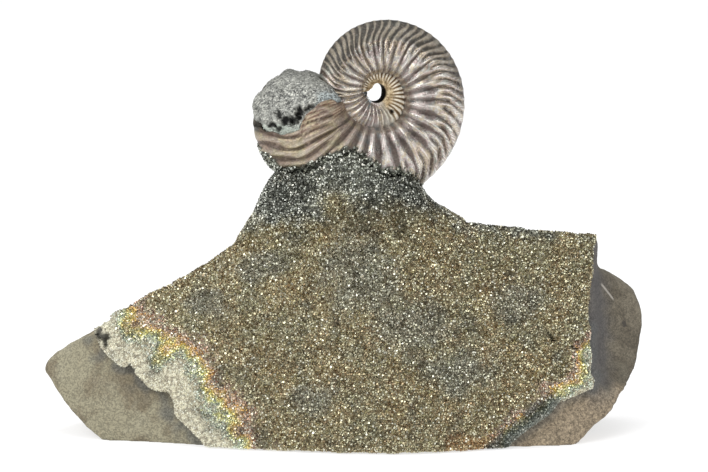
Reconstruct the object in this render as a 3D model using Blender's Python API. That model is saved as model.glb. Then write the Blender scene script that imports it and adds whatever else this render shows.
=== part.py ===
"""Pyritized ammonite held by a mound of pyrite crystals on a loose siltstone block.

All sizes below are millimetres. X runs to the right, Y away from the viewer, Z up,
and the block stands on Z = 0. The finished part is centred on its footprint.
"""

import math

import bmesh
import bpy
import numpy as np
from mathutils import Vector, noise

MM = 0.001
GAP = 0.35                      # clearance left between touching pieces

# siltstone block, each list gives (position along X, value)
BLOCK_RIDGE = [(-71.6, 16.0), (-70.2, 18.1), (-67.1, 20.7), (-63.5, 22.6), (-60.1, 25.0), (-51.8, 29.9),
               (-43.2, 34.4), (-32.2, 40.7), (-25.0, 45.8), (-15.0, 49.3), (0.0, 50.6), (15.0, 50.6),
               (25.6, 50.4), (33.3, 49.3), (39.3, 48.6), (49.0, 47.4), (60.0, 46.3), (61.3, 38.2),
               (63.8, 36.6), (68.9, 33.8), (71.2, 31.8), (72.8, 27.0)]
BLOCK_UNDERSIDE = [(-71.6, 14.6), (-70.0, 13.0), (-65.9, 7.7), (-62.4, 4.1), (-58.3, 0.0), (55.2, 0.0),
                   (57.8, 2.0), (61.7, 4.8), (64.6, 7.6), (66.6, 10.0), (69.6, 13.4), (71.4, 16.6),
                   (72.2, 20.8), (72.8, 24.0)]
BLOCK_FRONT = [(-71.6, -1.0), (-66.0, -6.0), (-58.3, -10.1), (-48.5, -10.8), (-39.2, -13.2), (-31.4, -15.6),
               (-19.9, -18.0), (-11.0, -19.0), (2.2, -21.5), (14.8, -22.0), (21.4, -20.4), (29.4, -18.6),
               (36.4, -16.5), (41.5, -15.5), (48.1, -16.3), (55.4, -14.2), (62.0, -11.0), (68.0, -7.5),
               (73.8, -4.0)]
BLOCK_BACK = [(-71.6, 4.0), (-66.0, 10.0), (-58.0, 17.0), (-45.0, 22.0), (-25.0, 25.5), (0.0, 26.0),
              (25.0, 25.5), (45.0, 23.0), (58.0, 21.0), (66.0, 21.0), (73.8, 18.5)]
RIDGE_WIDTH = [(-71.6, 3.0), (-60.0, 4.0), (-40.0, 5.0), (-24.0, 9.0), (-10.0, 14.0), (10.0, 15.0),
               (25.0, 10.0), (40.0, 6.5), (58.0, 6.5), (66.0, 8.0), (73.8, 6.0)]
BACK_BREAKS = [(24.5, 0.10, -0.28), (27.5, -0.16, -0.40), (31.0, 0.02, -0.45)]
FRONT_LEAN, FRONT_CURVE = 0.15, 0.0036
BACK_FULLNESS = 0.75
SIDE_STEP_X, SIDE_STEP_RUN, SIDE_STEP_DEPTH = 59.0, 4.0, 8.0
SIDE_STEP_Z, SIDE_STEP_RISE = 9.0, 9.0
BLOCK_EASE = 5.0                # how far along X the front's bends are eased
BLOCK_SLICES = 28
BLOCK_FRONT_ROWS, BLOCK_TOP_ROWS, BLOCK_BACK_ROWS, BLOCK_BASE_ROWS = 8, 2, 7, 3
BLOCK_UNEVEN, BLOCK_UNEVEN_SIZE = 0.7, 11.0

# sheet of pyrite over the front
CRUST_THICK, CRUST_THICK_TOP = 2.6, 0.9
CRUST_SUNK = 1.6
CRUST_WRAP = 3.2
CRUST_FOOT = 0.4
CRUST_LEFT_EDGE = [(-61.5, 27.5), (-59.0, 22.8), (-56.1, 19.6), (-53.2, 18.6), (-51.4, 17.7), (-48.9, 15.1),
                   (-46.2, 12.8), (-42.1, 12.4), (-40.6, 10.2), (-40.2, 7.3), (-35.9, 3.1), (-33.8, 1.5),
                   (-32.3, -2.0)]
CRUST_RIGHT_EDGE = [(37.3, -2.0), (39.2, 1.4), (42.8, 4.1), (46.4, 6.7), (48.3, 8.0), (50.8, 10.6),
                    (53.8, 11.8), (59.1, 13.1), (59.6, 14.9), (57.8, 16.8), (58.9, 20.7), (58.1, 23.3),
                    (58.7, 26.0), (57.8, 31.2), (58.2, 37.5), (59.3, 43.3), (60.2, 50.0)]
CRUST_SLICES, CRUST_ROWS = 44, 14
CRUST_LUMP, CRUST_LUMP_SIZE = 0.6, 7.0
CRUST_GRAIN, CRUST_GRAIN_SIZE = 0.45, 1.7

# mound that grips the shell
MOUND_TOP = [(-26.0, 46.5), (-24.0, 50.0), (-22.5, 52.5), (-21.6, 54.2), (-19.7, 58.2), (-17.8, 61.6),
             (-17.0, 64.3), (-12.0, 64.9), (-6.8, 66.5), (-4.5, 68.4), (-1.5, 69.9), (0.7, 70.3),
             (3.7, 69.1), (5.6, 67.6), (8.3, 65.3), (10.2, 64.5), (12.1, 65.3), (15.1, 64.5),
             (17.3, 61.0), (19.0, 58.0), (21.0, 55.4), (25.6, 53.2), (30.0, 50.0)]
MOUND_REACH = [(44.0, 11.0), (50.0, 10.2), (56.0, 9.6), (62.0, 8.6), (68.0, 7.2), (72.0, 6.4)]
MOUND_OVER_SHELL = 2.3
MOUND_FLOOR, MOUND_MELD = 44.0, 56.0
MOUND_SLICES, MOUND_ROWS, MOUND_TOP_ROWS = 27, 8, 4
MOUND_SHOULDER = 1.6
MOUND_SLIM = [(-26.0, 0.45), (-15.0, 1.0), (17.0, 1.0), (30.0, 0.45)]

# the shell: a spiral that grows by the same factor each turn
SHELL_CENTRE = (7.3, 2.0, 82.5)
SHELL_YAW = 9.0                 # degrees, the left side comes nearer
SHELL_START_RADIUS = 14.18      # outer radius where the last turn begins
SHELL_GROWTH = 0.00251          # per degree
SHELL_ZERO = 162.0              # direction of the spiral's zero in the front view, degrees
SHELL_HOLE = 2.4
SHELL_FATNESS = 0.45
SHELL_STEADY, SHELL_CLOSING = 312.0, -0.0016
SEAM_RADIUS = [(-40.0, 2.4), (0.0, 3.24), (90.0, 4.8), (170.0, 6.5), (210.0, 8.05), (260.0, 7.8), (335.0, 8.4)]
RIBS_PER_TURN = 28
RINGS_PER_RIB = 4
RIB_HEIGHT = 0.033              # share of the whorl's height
RIB_SPLIT, RIB_SPLIT_RUN = 0.50, 0.16
INNER_RIB_BOOST = 1.8
RIB_HEIGHT_AT_KEEL = 0.5        # share of that left on the outer edge
WHORL_PROFILE = [(0.00, 0.34), (0.09, 0.76), (0.32, 1.00), (0.62, 0.90), (0.84, 0.65), (0.96, 0.34)]
COARSE_SHARES = (0.00, 0.32, 0.62, 0.96)
BREAK_ANGLE, BREAK_TILT_NEAR, BREAK_TILT_FAR = 333.0, 14.0, 20.0
BREAK_BITE, BREAK_BITE_AT, BREAK_BITE_RUN = 9.0, 0.76, 0.15
SHELL_WALL, POCKET_DEPTH = 1.0, 0.17    # the depth is a share of the way back to the last regular rib
FILL_DEPTH = 0.11
LAST_TURN_START, LAST_TURN_END, INNER_TURN_START = -22.5, 298.9, -350.4
BREAK_RINGS = 9

# grainy plug in the broken body chamber
FILL_DOME = 5.0
FILL_RINGS = 6
FILL_LUMP, FILL_LUMP_SIZE = 0.9, 4.0

STONE_LOOK = ((0.150, 0.115, 0.085), 0.86, 0.0)
CRUST_LOOK = ((0.170, 0.135, 0.065), 0.42, 0.55)
SHELL_LOOK = ((0.300, 0.215, 0.170), 0.30, 0.75)
FILL_LOOK = ((0.160, 0.165, 0.165), 0.70, 0.15)


def clear_scene():
    for obj in list(bpy.data.objects):
        bpy.data.objects.remove(obj, do_unlink=True)


def read(pairs, at):
    return float(np.interp(at, [p[0] for p in pairs], [p[1] for p in pairs]))


def eased(pairs, at, spread):
    steps = (-1.0, -0.5, 0.0, 0.5, 1.0)
    return sum(read(pairs, at + spread * s) for s in steps) / len(steps)


def smooth(value):
    value = min(max(value, 0.0), 1.0)
    return value * value * (3.0 - 2.0 * value)


def uneven(x, y, z, size, seed=0.0):
    return noise.noise(Vector((x / size + seed, y / size - seed, z / size + 2.0 * seed)))


def look(name, values):
    colour, roughness, metallic = values
    material = bpy.data.materials.new(name)
    material.use_nodes = True
    shader = material.node_tree.nodes["Principled BSDF"]
    shader.inputs["Base Color"].default_value = (*colour, 1.0)
    shader.inputs["Roughness"].default_value = roughness
    shader.inputs["Metallic"].default_value = metallic
    return material


def loft(name, sections, soft=False):
    """Closed solid through a list of rings with equal point counts."""
    bm = bmesh.new()
    ring = bmesh.ops.create_circle(bm, segments=len(sections[0]), radius=1.0)["verts"]
    edges = list(bm.edges)
    for vert, point in zip(ring, sections[0]):
        vert.co = Vector(point) * MM
    bmesh.ops.contextual_create(bm, geom=edges)
    for section in sections[1:]:
        made = bmesh.ops.extrude_edge_only(bm, edges=edges)["geom"]
        fresh = {item for item in made if isinstance(item, bmesh.types.BMVert)}
        edges = [item for item in made if isinstance(item, bmesh.types.BMEdge)
                 and item.verts[0] in fresh and item.verts[1] in fresh]
        following = []
        for vert, point in zip(ring, section):
            partner = next(e.other_vert(vert) for e in vert.link_edges if e.other_vert(vert) in fresh)
            partner.co = Vector(point) * MM
            following.append(partner)
        ring = following
    bmesh.ops.contextual_create(bm, geom=edges)
    bmesh.ops.recalc_face_normals(bm, faces=bm.faces)
    mesh = bpy.data.meshes.new(name)
    bm.to_mesh(mesh)
    bm.free()
    if soft:
        mesh.shade_smooth()
    obj = bpy.data.objects.new(name, mesh)
    bpy.context.scene.collection.objects.link(obj)
    return obj


def helper(obj):
    obj.hide_render = True
    obj.display_type = "WIRE"
    return obj


def join(obj, other, operation, crosses_itself=False):
    step = obj.modifiers.new(operation.title(), "BOOLEAN")
    step.solver = "EXACT"
    step.operation = operation
    step.use_self = crosses_itself
    step.object = helper(other)


def swell(obj, by):
    """Moves every vertex out along its normal."""
    bm = bmesh.new()
    bm.from_mesh(obj.data)
    bm.normal_update()
    moved = [v.co + v.normal * by * MM for v in bm.verts]
    for vert, place in zip(bm.verts, moved):
        vert.co = place
    bm.to_mesh(obj.data)
    bm.free()


def block_front(x, z):
    step = SIDE_STEP_DEPTH * smooth((x - SIDE_STEP_X) / SIDE_STEP_RUN) * smooth((z - SIDE_STEP_Z) / SIDE_STEP_RISE)
    return eased(BLOCK_FRONT, x, BLOCK_EASE) + FRONT_LEAN * z + FRONT_CURVE * z * z + step


def block_back(x, z):
    top = read(BLOCK_RIDGE, x)
    ridge = block_front(x, top) + read(RIDGE_WIDTH, x)
    share = max(0.0, 1.0 - z / top) ** BACK_FULLNESS
    y = ridge + (max(read(BLOCK_BACK, x), ridge + 2.0) - ridge) * share
    breaks = min(a + b * x + c * z for a, b, c in BACK_BREAKS)
    return max(min(y, breaks), ridge)


def block_section(x):
    low, top = read(BLOCK_UNDERSIDE, x), read(BLOCK_RIDGE, x)
    points = []
    for i in range(BLOCK_FRONT_ROWS):
        z = low + (top - low) * i / BLOCK_FRONT_ROWS
        points.append((x, block_front(x, z), z))
    ridge_front = block_front(x, top)
    ridge_back = ridge_front + read(RIDGE_WIDTH, x)
    for i in range(BLOCK_TOP_ROWS):
        share = i / BLOCK_TOP_ROWS
        y = ridge_front + (ridge_back - ridge_front) * share
        points.append((x, y, top + 0.8 * math.sin(math.pi * share)))
    for i in range(BLOCK_BACK_ROWS):
        z = top - (top - low) * i / BLOCK_BACK_ROWS
        points.append((x, block_back(x, z), z))
    front, back = block_front(x, low), block_back(x, low)
    for i in range(BLOCK_BASE_ROWS):
        share = i / BLOCK_BASE_ROWS
        points.append((x, back + (front - back) * share, low))
    roughened = []
    for place in points:
        px, py, pz = place
        if pz > 0.01:
            amount = BLOCK_UNEVEN * min(1.0, pz / 4.0)
            py += amount * uneven(px, py, pz, BLOCK_UNEVEN_SIZE, 3.1)
            pz += 0.5 * amount * uneven(px, py, pz, BLOCK_UNEVEN_SIZE, 7.7)
        roughened.append((px, py, pz))
    return roughened


def block_stations():
    first, last = BLOCK_RIDGE[0][0], BLOCK_RIDGE[-1][0]
    inner = [first + (last - first) * i / BLOCK_SLICES for i in range(1, BLOCK_SLICES)]
    corners = [-70.2, -58.3, 55.2, 59.0, 60.2, 61.3, 63.0, 70.9]
    kept = [x for x in inner if min(abs(x - c) for c in corners) > 1.0]
    return sorted([first, last] + kept + corners)


def make_block(name):
    return loft(name, [block_section(x) for x in block_stations()])


def crust_face(x, z):
    """Front surface of the crust."""
    share = (z - CRUST_FOOT) / (read(BLOCK_RIDGE, x) - CRUST_FOOT)
    thick = CRUST_THICK + (CRUST_THICK_TOP + 0.5 - CRUST_THICK) * smooth((share - 0.75) / 0.25)
    y = block_front(x, z)
    lump = CRUST_LUMP * uneven(x, y, z, CRUST_LUMP_SIZE, 1.3)
    return y - thick - lump - CRUST_GRAIN * uneven(x, y, z, CRUST_GRAIN_SIZE, 5.9)


def crust_section(x):
    top = read(BLOCK_RIDGE, x)
    heights = [CRUST_FOOT + (top - CRUST_FOOT) * i / CRUST_ROWS for i in range(CRUST_ROWS + 1)]
    outer = [(x, crust_face(x, z), z) for z in heights]
    inner = [(x, block_front(x, z) + CRUST_SUNK, z) for z in heights]
    front = block_front(x, top)
    grain = CRUST_GRAIN * uneven(x, 0.0, top, CRUST_GRAIN_SIZE, 9.2)
    over = [(x, front - CRUST_THICK_TOP, top + 0.7 * CRUST_THICK_TOP + grain),
            (x, front + 0.5 * CRUST_WRAP, top + CRUST_THICK_TOP + 0.8 + grain),
            (x, front + CRUST_WRAP, top + CRUST_THICK_TOP * 0.6),
            (x, front + CRUST_WRAP, top - CRUST_SUNK)]
    return outer[:-1] + over + inner[-3::-1]


def make_crust(name):
    first, last = CRUST_LEFT_EDGE[0][0] - 1.5, CRUST_RIGHT_EDGE[-1][0] + 1.0
    step = (last - first) / CRUST_SLICES
    return loft(name, [crust_section(first + step * i) for i in range(CRUST_SLICES + 1)])


def make_crust_outline():
    corners = CRUST_LEFT_EDGE + CRUST_RIGHT_EDGE
    corners = corners + [(60.2, 66.0), (-61.5, 66.0)]
    near = [(x, -50.0, z) for x, z in corners]
    far = [(x, 50.0, z) for x, z in corners]
    return loft("crust_outline", [near, far])


def outer_radius(angle):
    growing = SHELL_GROWTH * min(angle, SHELL_STEADY) + SHELL_CLOSING * max(0.0, angle - SHELL_STEADY)
    return SHELL_START_RADIUS * math.exp(growing)


def inner_radius(angle):
    return SHELL_HOLE if angle < SEAM_RADIUS[0][0] else read(SEAM_RADIUS, angle)


def flank_width(angle, share):
    """Half thickness of the whorl at this share of its height."""
    height = outer_radius(angle) - inner_radius(angle)
    profile = WHORL_PROFILE + [(1.0, 0.0)]
    return SHELL_FATNESS * height * read(profile, share)


def rib_swing(angle, share):
    """How far a rib leans forward or back of its root, in degrees."""
    lean = -9.0 + max(0.0, angle - 180.0) * 0.12
    forward = 9.0 * smooth((share - 0.6) / 0.4)
    return lean * math.sin(0.5 * math.pi * min(share / 0.45, 1.0)) + forward


def rib(angle, share):
    """Rib relief from 0 in a groove to 1 on a crest."""
    phase = (angle / 360.0 * RIBS_PER_TURN) % 1.0
    inner = 0.5 + 0.5 * math.cos(2.0 * math.pi * (phase - 0.25))
    outer = 0.5 + 0.5 * math.cos(4.0 * math.pi * phase)
    return inner + (outer - inner) * smooth((share - RIB_SPLIT) / RIB_SPLIT_RUN + 0.5)


def on_shell(radius, angle, side):
    """Point in the spiral's own frame: X right, Y away, Z up."""
    turn = math.radians(SHELL_ZERO - angle)
    return (radius * math.cos(turn), side, radius * math.sin(turn))


def place_shell(point):
    x, y, z = point
    c, s = math.cos(math.radians(SHELL_YAW)), math.sin(math.radians(SHELL_YAW))
    return (SHELL_CENTRE[0] + c * x - s * y, SHELL_CENTRE[1] + s * x + c * y, SHELL_CENTRE[2] + z)


def whorl_ring(angle, offset=0.0, ribbed=True, progress=0.0, coarse=False):
    """One ring of the tube. Offset swells it, progress slides its points towards the broken end."""
    low, high = inner_radius(angle), outer_radius(angle)
    height = high - low
    profile = [line for line in WHORL_PROFILE if line[0] in COARSE_SHARES or not coarse]
    lines = [(-1, share, width) for share, width in profile] + [(0, 1.0, 0.0)]
    lines += [(1, share, width) for share, width in reversed(profile)]
    ring = []
    for sign, share, width in lines:
        lean = rib_swing(angle, share)
        here = angle + lean
        here += (break_angle(share, sign * width) - here) * progress
        grown = outer_radius(here) / high
        half = SHELL_FATNESS * height * width * grown
        radius = (low + height * share) * grown
        rise = RIB_HEIGHT * height * min(1.0, 0.45 + 2.2 * share)
        rise *= 1.0 - (1.0 - RIB_HEIGHT_AT_KEEL) * smooth((share - 0.6) / 0.4)
        rise *= INNER_RIB_BOOST if coarse else 1.0
        lift = rise * (rib(here - lean, share) if ribbed else 1.0) + offset
        if share == 0.0:
            half += 0.7 * offset
            radius -= 0.7 * offset
        else:
            tilt = 0.5 * math.pi * smooth((share - 0.4) / 0.6)
            half += lift * math.cos(tilt)
            radius += lift * math.sin(tilt)
        ring.append(on_shell(radius, here, sign * half))
    middle = angle + (BREAK_ANGLE - angle) * progress
    buried = 0.8 * smooth((angle - SEAM_RADIUS[0][0]) / 20.0)
    ring.append(on_shell(max(low - buried - offset, 0.6 * low), middle, 0.0))
    return [place_shell(p) for p in ring]


def break_angle(share, side):
    """Where the broken body chamber ends along each line of the shell."""
    if side > 0.0:
        return BREAK_ANGLE + BREAK_TILT_FAR * side
    bite = BREAK_BITE * math.exp(-((share - BREAK_BITE_AT) / BREAK_BITE_RUN) ** 2) * math.sqrt(-side)
    return BREAK_ANGLE + BREAK_TILT_NEAR * side - bite


def ring_angles(first, last, step):
    return [first + step * i for i in range(round((last - first) / step) + 1)]


def shrunk(ring, share):
    """The ring drawn in towards its middle."""
    middle = np.mean(ring, axis=0)
    return [tuple(middle + (np.array(point) - middle) * share) for point in ring]


def make_last_turn(name):
    step = 360.0 / RIBS_PER_TURN / RINGS_PER_RIB
    rings = [whorl_ring(LAST_TURN_START - 1.5 * step, -0.3), whorl_ring(LAST_TURN_START - 0.5 * step, -0.1)]
    rings += [whorl_ring(angle) for angle in ring_angles(LAST_TURN_START, LAST_TURN_END, step)]
    for i in range(1, BREAK_RINGS + 1):
        rings.append(whorl_ring(LAST_TURN_END, progress=i / BREAK_RINGS))
    rings.append(whorl_ring(LAST_TURN_END, -SHELL_WALL, ribbed=False, progress=1.0))
    floor = whorl_ring(LAST_TURN_END, -SHELL_WALL, ribbed=False, progress=1.0 - POCKET_DEPTH)
    rings += [floor, shrunk(floor, 0.5), shrunk(floor, 0.05)]
    return loft(name, rings, soft=True)


def make_inner_turn(name):
    step = 360.0 / RIBS_PER_TURN / RINGS_PER_RIB
    rings = [whorl_ring(a, coarse=True) for a in ring_angles(INNER_TURN_START, LAST_TURN_START - step, 2.0 * step)]
    rings.append(whorl_ring(LAST_TURN_START, coarse=True))
    rings.append(whorl_ring(LAST_TURN_START + step, -0.15, coarse=True))
    return loft(name, rings, soft=True)


def make_shell_space(name, first, last, to_break):
    """The room a stretch of the shell takes up, crests and clearance included."""
    rings = [whorl_ring(angle, GAP, ribbed=False) for angle in ring_angles(first, last, 5.0)]
    if to_break:
        rings += [whorl_ring(last, GAP, ribbed=False, progress=i / 4.0) for i in range(1, 5)]
    return loft(name, rings)


def flank_at(x, z):
    """(mid-plane, half thickness) of the last turn seen from the front at this place."""
    across, up = (x - SHELL_CENTRE[0]) / math.cos(math.radians(SHELL_YAW)), z - SHELL_CENTRE[2]
    middle = SHELL_CENTRE[1] + (x - SHELL_CENTRE[0]) * math.tan(math.radians(SHELL_YAW))
    angle = (SHELL_ZERO - math.degrees(math.atan2(up, across))) % 360.0
    low, high = inner_radius(angle), outer_radius(angle)
    share = (math.hypot(across, up) - low) / (high - low)
    if share >= 1.0:
        return middle, 0.0
    profile = WHORL_PROFILE + [(1.0, 0.0)]
    return middle, SHELL_FATNESS * (high - low) * read(profile, max(share, 0.0))


def mound_face(x, z, side):
    middle, half = flank_at(x, z)
    free = max(read(MOUND_REACH, z) * read(MOUND_SLIM, x), half + MOUND_OVER_SHELL if half > 0.0 else 0.0)
    free = middle + side * free
    low_z = min(z, read(BLOCK_RIDGE, x))
    ground = crust_face(x, low_z) + 0.5 if side < 0 else block_front(x, low_z) + read(RIDGE_WIDTH, x) - 0.8
    y = ground + (free - ground) * smooth((z - MOUND_FLOOR - 1.0) / (MOUND_MELD - MOUND_FLOOR))
    lump = CRUST_LUMP * uneven(x, y, z, CRUST_LUMP_SIZE, 4.4)
    return y + side * (lump + CRUST_GRAIN * uneven(x, y, z, CRUST_GRAIN_SIZE, 8.1))


def mound_section(x):
    top = read(MOUND_TOP, x)
    wall = [MOUND_FLOOR + (top - MOUND_SHOULDER - MOUND_FLOOR) * i / (MOUND_ROWS - 1) for i in range(MOUND_ROWS)]
    points = [(x, mound_face(x, z, -1), z) for z in wall]
    near, far = mound_face(x, top, -1), mound_face(x, top, 1)
    for i in range(MOUND_TOP_ROWS):
        share = (i + 0.6) / (MOUND_TOP_ROWS + 0.2)
        y = near + (far - near) * share
        points.append((x, y, top + CRUST_GRAIN * uneven(x, y, top, CRUST_GRAIN_SIZE, 2.2)))
    points += [(x, mound_face(x, z, 1), z) for z in reversed(wall)]
    return points


def make_mound(name):
    first, last = MOUND_TOP[0][0], MOUND_TOP[-1][0]
    step = (last - first) / MOUND_SLICES
    return loft(name, [mound_section(first + step * i) for i in range(MOUND_SLICES + 1)])


def make_fill(name):
    inset = -SHELL_WALL - GAP
    foot = whorl_ring(LAST_TURN_END, inset, False, 1.0 - FILL_DEPTH)
    rings = [shrunk(foot, 0.05), shrunk(foot, 0.5), foot, whorl_ring(LAST_TURN_END, inset, False, 1.0)]
    rim = np.array(rings[-1])
    middle = rim.mean(axis=0)
    spans = rim - middle
    out = np.cross(spans, np.roll(spans, -1, axis=0)).sum(axis=0)
    out /= np.linalg.norm(out)
    out *= 1.0 if out[2] > 0.0 else -1.0
    for i in range(1, FILL_RINGS + 1):
        share = 1.0 - i / (FILL_RINGS + 0.6)
        ring = []
        for span in spans:
            place = middle + span * share
            lump = FILL_LUMP * uneven(*place, FILL_LUMP_SIZE, 6.6)
            ring.append(tuple(place + out * (FILL_DOME * (1.0 - share * share) + lump)))
        rings.append(ring)
    return loft(name, rings)


def centre_on_footprint():
    """Moves everything so that the middle of the footprint is the origin."""
    bpy.context.view_layer.update()
    graph = bpy.context.evaluated_depsgraph_get()
    corners = []
    for obj in bpy.data.objects:
        if not obj.hide_render:
            corners += [obj.matrix_world @ Vector(c) for c in obj.evaluated_get(graph).bound_box]
    low = [min(c[i] for c in corners) for i in range(3)]
    high = [max(c[i] for c in corners) for i in range(3)]
    shift = Vector((-(low[0] + high[0]) / 2.0, -(low[1] + high[1]) / 2.0, -low[2]))
    for obj in bpy.data.objects:
        for vert in obj.data.vertices:
            vert.co += shift
    bpy.context.view_layer.update()
    print("moved by", [round(1000.0 * v, 3) for v in shift], "mm")


def build():
    clear_scene()
    block = make_block("matrix_stone")
    block.data.materials.append(look("siltstone", STONE_LOOK))

    crust = make_crust("pyrite_crust")
    crust.data.materials.append(look("pyrite druse", CRUST_LOOK))
    join(crust, make_crust_outline(), "INTERSECT")
    join(crust, make_mound("mound"), "UNION")
    block_space = make_block("block_space")
    swell(block_space, GAP)
    join(crust, block_space, "DIFFERENCE")
    join(crust, make_shell_space("shell_seat", 150.0, 290.0, True), "DIFFERENCE")

    shell = make_last_turn("ammonite_shell")
    shell.data.materials.append(look("pearly pyrite", SHELL_LOOK))
    join(shell, make_inner_turn("inner_turn"), "UNION", crosses_itself=True)

    fill = make_fill("chamber_fill")
    fill.data.materials.append(look("grey filling", FILL_LOOK))
    join(fill, make_shell_space("turn_before", -75.0, 30.0, False), "DIFFERENCE")
    centre_on_footprint()


build()
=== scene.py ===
import math

import bmesh
import bpy
import numpy as np
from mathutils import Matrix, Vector, noise
from mathutils.bvhtree import BVHTree


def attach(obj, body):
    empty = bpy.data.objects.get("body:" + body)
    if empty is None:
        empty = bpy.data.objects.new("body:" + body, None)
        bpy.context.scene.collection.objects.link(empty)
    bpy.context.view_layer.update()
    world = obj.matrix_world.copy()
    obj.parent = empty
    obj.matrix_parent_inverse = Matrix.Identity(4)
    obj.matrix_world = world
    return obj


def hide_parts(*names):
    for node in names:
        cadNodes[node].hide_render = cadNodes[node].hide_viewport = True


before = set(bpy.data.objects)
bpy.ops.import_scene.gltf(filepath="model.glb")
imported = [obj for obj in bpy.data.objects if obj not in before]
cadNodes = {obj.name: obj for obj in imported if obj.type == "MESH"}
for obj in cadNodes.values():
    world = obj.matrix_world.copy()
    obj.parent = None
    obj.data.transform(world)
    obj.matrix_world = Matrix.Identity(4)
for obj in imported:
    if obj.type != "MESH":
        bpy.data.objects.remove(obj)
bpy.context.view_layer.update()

mm = 0.001
partShift = np.array([-0.6, -0.656, 0])      # the part stands centred on its footprint


def smoothStep(value):
    share = np.clip(value, 0, 1)
    return share * share * (3 - 2 * share)


def readLine(pairs, at):
    return np.interp(at, [p[0] for p in pairs], [p[1] for p in pairs])


def roundCurve(points, count):
    # points spread evenly along a soft curve through the given ones
    knots = np.array([points[0]] + list(points) + [points[-1]], float)
    parts = []
    for a, b, c, d in zip(knots, knots[1:], knots[2:], knots[3:]):
        t = np.linspace(0, 1, 40, endpoint=False)[:, None]
        parts.append(0.5 * (2 * b + (c - a) * t + (2 * a - 5 * b + 4 * c - d) * t ** 2
                            + (3 * b - a - 3 * c + d) * t ** 3))
    fine = np.vstack(parts + [knots[-1:]])
    run = np.concatenate([[0], np.cumsum(np.linalg.norm(np.diff(fine, axis=0), axis=1))])
    wanted = np.linspace(0, run[-1], count)
    return np.stack([np.interp(wanted, run, fine[:, i]) for i in range(fine.shape[1])], axis=1)


def bumps(point, size, seed=0):
    return noise.noise(Vector((point[0] / size + seed, point[1] / size - seed, point[2] / size + 2 * seed)))


def edgeDistance(flat, line):
    best = np.full(len(flat), 1e9)
    for a, b in zip(np.array(line[:-1], float), np.array(line[1:], float)):
        along = np.clip(((flat - a) @ (b - a)) / ((b - a) @ (b - a)), 0, 1)
        best = np.minimum(best, np.linalg.norm(flat - (a + along[:, None] * (b - a)), axis=1))
    return best


def designPlace(vert):
    # mm, as in the part's own drawing
    return np.array(vert.co) / mm - partShift


def designPlaces(mesh):
    flat = np.empty(len(mesh.vertices) * 3, np.float32)
    mesh.vertices.foreach_get("co", flat)
    return flat.reshape(-1, 3).astype(float) / mm - partShift


def storeValues(mesh, **fields):
    for name, values in fields.items():
        layer = mesh.attributes.get(name) or mesh.attributes.new(name, "FLOAT", "POINT")
        layer.data.foreach_set("value", np.asarray(values, np.float32))


def readValues(mesh, name):
    values = np.empty(len(mesh.vertices), np.float32)
    mesh.attributes[name].data.foreach_get("value", values)
    return values


def putIn(name, data):
    obj = bpy.data.objects.new(name, data)
    bpy.context.scene.collection.objects.link(obj)
    return obj


def toObject(name, bm):
    mesh = bpy.data.meshes.new(name)
    bm.to_mesh(mesh)
    bm.free()
    return putIn(name, mesh)


def reshape(obj, newPlace):
    # moves every point at once to where newPlace sends it
    bm = bmesh.new()
    bm.from_mesh(obj.data)
    bm.normal_update()
    for vert, there in zip(bm.verts, [newPlace(vert) for vert in bm.verts]):
        vert.co = there
    bm.to_mesh(obj.data)
    bm.free()


def settle(obj):
    # keeps what the modifiers made as the piece's own mesh
    graph = bpy.context.evaluated_depsgraph_get()
    mesh = bpy.data.meshes.new_from_object(obj.evaluated_get(graph), depsgraph=graph)
    obj.modifiers.clear()
    obj.data = mesh
    obj.data.name = obj.name
    return obj


def dress(obj, material, slotName, *stoodFor):
    obj.data.materials.clear()
    obj.data.materials.append(material)
    obj.data.shade_smooth()
    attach(obj, "root")
    if stoodFor:
        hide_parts(*stoodFor)
    print(obj.name + ":", len(obj.data.polygons), "faces")
    return obj


def dropCrumbs(bm):
    # a thin edge can leave loose bits: only the largest piece stays
    waiting, largest = set(bm.verts), set()
    while waiting:
        reached = {waiting.pop()}
        fresh = set(reached)
        while fresh:
            fresh = {edge.other_vert(vert) for vert in fresh for edge in vert.link_edges} - reached
            reached |= fresh
        waiting -= reached
        largest = max(largest, reached, key=len)
    bmesh.ops.delete(bm, geom=[vert for vert in bm.verts if vert not in largest], context="VERTS")


def fineCopy(name, nodeName, voxel, softening):
    # an even, fine skin over a node's own shape
    bm = bmesh.new()
    bm.from_mesh(cadNodes[nodeName].data)
    bmesh.ops.remove_doubles(bm, verts=bm.verts, dist=1e-6)
    obj = toObject(name, bm)
    skin = obj.modifiers.new("even skin", "REMESH")
    skin.mode = "VOXEL"
    skin.voxel_size = voxel * mm
    settle(obj)
    bm = bmesh.new()
    bm.from_mesh(obj.data)
    dropCrumbs(bm)
    for _ in range(softening):
        bmesh.ops.smooth_vert(bm, verts=bm.verts, factor=0.5, use_axis_x=True, use_axis_y=True, use_axis_z=True)
    bm.to_mesh(obj.data)
    bm.free()
    return obj


def treeOf(*values):
    # the node tree that the linked values belong to
    return next(value.id_data for value in values if isinstance(value, bpy.types.NodeSocket))


def feed(socket, value):
    if isinstance(value, bpy.types.NodeSocket):
        socket.id_data.links.new(value, socket)
    elif isinstance(value, (tuple, list)) and socket.type == "RGBA":
        socket.default_value = (*value[:3], 1)
    else:
        socket.default_value = value


def addNode(tree, kind, values=None, **settings):
    made = tree.nodes.new(kind)
    for key, value in settings.items():
        setattr(made, key, value)
    for key, value in (values or {}).items():
        feed(made.inputs[key], value)
    return made


def maths(operation, first, second=0, third=0):
    values = {0: first, 1: second, 2: third}
    return addNode(treeOf(first, second), "ShaderNodeMath", values, operation=operation).outputs[0]


def times(*shares):
    made = shares[0]
    for share in shares[1:]:
        made = maths("MULTIPLY", made, share)
    return made


def mixColour(factor, first, second, mode="MIX"):
    values = {0: factor, 6: first, 7: second}
    return addNode(treeOf(factor, second), "ShaderNodeMix", values, data_type="RGBA", blend_type=mode).outputs[2]


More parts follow.
